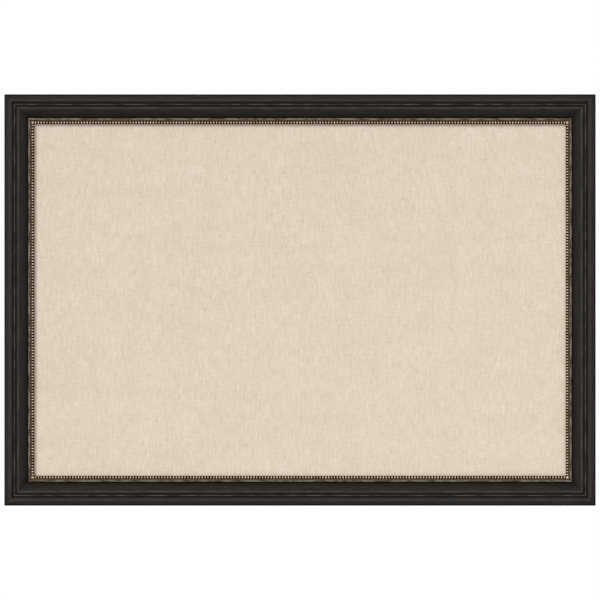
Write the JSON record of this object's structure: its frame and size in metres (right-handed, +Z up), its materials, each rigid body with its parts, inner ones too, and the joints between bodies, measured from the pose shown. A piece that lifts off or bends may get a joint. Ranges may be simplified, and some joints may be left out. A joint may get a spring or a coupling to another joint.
{
  "type": "bulletin board",
  "caption": "Framed bulletin board: a linen-faced cork panel in a dark bronze moulding with a beaded sight edge, hung on the wall by swinging D rings.",
  "frame": {"origin": "centre of the board's outline, on the plane of the frame's back", "axes": "+X to the right as the front is seen, +Y back towards the wall, +Z up; the front faces -Y"},
  "size_m": [1.0018, 0.0332, 0.697],
  "materials": {
    "dark_bronze": "satin",
    "bead_bronze": "satin",
    "linen": "matte",
    "cork": "matte",
    "hardboard": "matte",
    "spring_steel": "satin",
    "nickel": "satin",
    "rubber": "matte"
  },
  "bodies": {
    "board": {"top_rail": "dark_bronze", "right_rail": "dark_bronze", "bottom_rail": "dark_bronze", "left_rail": "dark_bronze", "top_bead_strip": "bead_bronze", "right_bead_strip": "bead_bronze", "bottom_bead_strip": "bead_bronze", "left_bead_strip": "bead_bronze", "linen_cover": "linen", "cork_sheet": "cork", "hardboard_backer": "hardboard", "top_retaining_point_1": "spring_steel", "top_retaining_point_2": "spring_steel", "top_retaining_point_3": "spring_steel", "top_retaining_point_4": "spring_steel", "right_retaining_point_1": "spring_steel", "right_retaining_point_2": "spring_steel", "right_retaining_point_3": "spring_steel", "bottom_retaining_point_1": "spring_steel", "bottom_retaining_point_2": "spring_steel", "bottom_retaining_point_3": "spring_steel", "bottom_retaining_point_4": "spring_steel", "left_retaining_point_1": "spring_steel", "left_retaining_point_2": "spring_steel", "left_retaining_point_3": "spring_steel", "top_right_v_nail_outer": "spring_steel", "top_right_v_nail_inner": "spring_steel", "right_bottom_v_nail_outer": "spring_steel", "right_bottom_v_nail_inner": "spring_steel", "bottom_left_v_nail_outer": "spring_steel", "bottom_left_v_nail_inner": "spring_steel", "left_top_v_nail_outer": "spring_steel", "left_top_v_nail_inner": "spring_steel", "left_hanger_strap": "nickel", "right_hanger_strap": "nickel", "left_hanger_screw": "nickel", "right_hanger_screw": "nickel", "left_wall_bumper": "rubber", "right_wall_bumper": "rubber"},
    "left_ring": {"left_d_ring": "nickel"},
    "right_ring": {"right_d_ring": "nickel"}
  },
  "joints": [
    {"name": "left_ring_swing", "type": "hinge", "parent": "board", "child": "left_ring", "pos_m": [-0.47935, 0.00275, 0.19845], "axis": [-1, 0, 0], "range_deg": [0, 169]},
    {"name": "right_ring_swing", "type": "hinge", "parent": "board", "child": "right_ring", "pos_m": [0.47935, 0.00275, 0.19845], "axis": [-1, 0, 0], "range_deg": [0, 169]}
  ]
}
